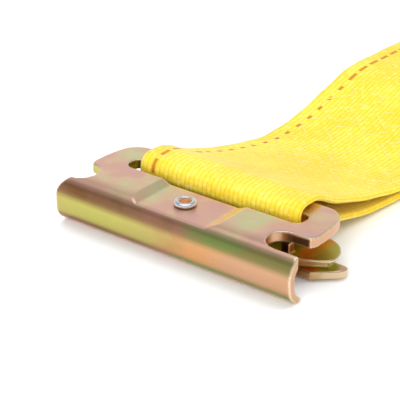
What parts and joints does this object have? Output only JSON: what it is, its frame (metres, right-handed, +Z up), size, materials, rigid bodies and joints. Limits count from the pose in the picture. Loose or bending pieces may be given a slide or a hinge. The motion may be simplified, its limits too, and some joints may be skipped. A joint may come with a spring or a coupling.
{
  "type": "ratchet tie down",
  "caption": "Ratchet buckle with a short fixed strap, a rolled adjustable strap, and a spring-latched E-track end fitting on each strap.",
  "frame": {"origin": "middle of the flat foot of the front fitting's lip, on the surface the tie down lies on", "axes": "+Y along the straps from the front fitting to the rear fitting, +Z up from the surface, +X along the front fitting's lip"},
  "size_m": [0.0891, 0.6594, 0.0965],
  "materials": {
    "zinc_gold": "yellow chromate zinc plating, iridescent",
    "zinc_gold_dark": "yellow chromate zinc plating",
    "steel": "bright zinc plating",
    "rivet_alloy": "bright",
    "spring_steel": "drawn wire",
    "grip_rubber": "matte, ribbed",
    "webbing": "woven polyester with an orange tracer thread"
  },
  "bodies": {
    "frame": {"ratchet_frame": "zinc_gold", "anchor_bolt": "steel", "anchor_nut": "steel", "anchor_sleeve": "steel", "lock_pawl_guide": "zinc_gold", "lock_pawl_spring": "spring_steel", "fixed_strap": "webbing", "long_strap_run": "webbing", "strap_roll": "webbing", "long_strap_end": "webbing", "front_fitting_body": "zinc_gold", "front_fitting_rivet": "rivet_alloy", "front_fitting_spring": "spring_steel", "rear_fitting_body": "zinc_gold", "rear_fitting_rivet": "rivet_alloy", "rear_fitting_spring": "spring_steel"},
    "spool": {"mandrel_upper": "steel", "mandrel_lower": "steel", "ratchet_wheel_left": "zinc_gold", "ratchet_wheel_right": "zinc_gold", "axle_clip_left": "steel", "axle_clip_right": "steel"},
    "handle": {"handle_frame": "zinc_gold", "handle_grip": "grip_rubber", "grip_bolt": "steel", "grip_nut": "steel", "drive_pawl_guide": "zinc_gold", "drive_pawl_spring": "spring_steel"},
    "drive_pawl": {"drive_pawl": "zinc_gold"},
    "lock_pawl": {"lock_pawl": "zinc_gold"},
    "front_latch": {"front_fitting_latch": "zinc_gold_dark"},
    "rear_latch": {"rear_fitting_latch": "zinc_gold_dark"}
  },
  "joints": [
    {"name": "handle_swing", "type": "hinge", "parent": "frame", "child": "handle", "pos_m": [0.009, 0.3, 0.022], "axis": [-1, 0, 0], "range_deg": [0, 180], "deforming": ["long_strap_run"]},
    {"name": "spool_spin", "type": "hinge", "parent": "frame", "child": "spool", "pos_m": [0.009, 0.3, 0.022], "axis": [1, 0, 0], "continuous": true, "deforming": ["long_strap_run"]},
    {"name": "drive_pawl_slide", "type": "slide", "parent": "handle", "child": "drive_pawl", "axis": [0, 0.9781, -0.2079], "range_m": [-0.003, 0.0038], "stiffness_N_per_m": 400, "deforming": ["drive_pawl_spring"]},
    {"name": "lock_pawl_slide", "type": "slide", "parent": "frame", "child": "lock_pawl", "axis": [0, -0.9511, -0.309], "range_m": [0, 0.0042], "stiffness_N_per_m": 400, "springref_m": -0.002, "deforming": ["lock_pawl_spring"]},
    {"name": "front_latch_tilt", "type": "hinge", "parent": "frame", "child": "front_latch", "pos_m": [0, 0.0024, 0.003], "axis": [1, 0, 0], "range_deg": [0, 6.5], "stiffness_Nm_per_rad": 0.3, "springref_deg": -5.73, "deforming": ["front_fitting_spring"]},
    {"name": "rear_latch_tilt", "type": "hinge", "parent": "frame", "child": "rear_latch", "pos_m": [0.009, 0.6496, 0.003], "axis": [-1, 0, 0], "range_deg": [0, 6.5], "stiffness_Nm_per_rad": 0.3, "springref_deg": -5.73, "deforming": ["rear_fitting_spring"]}
  ]
}
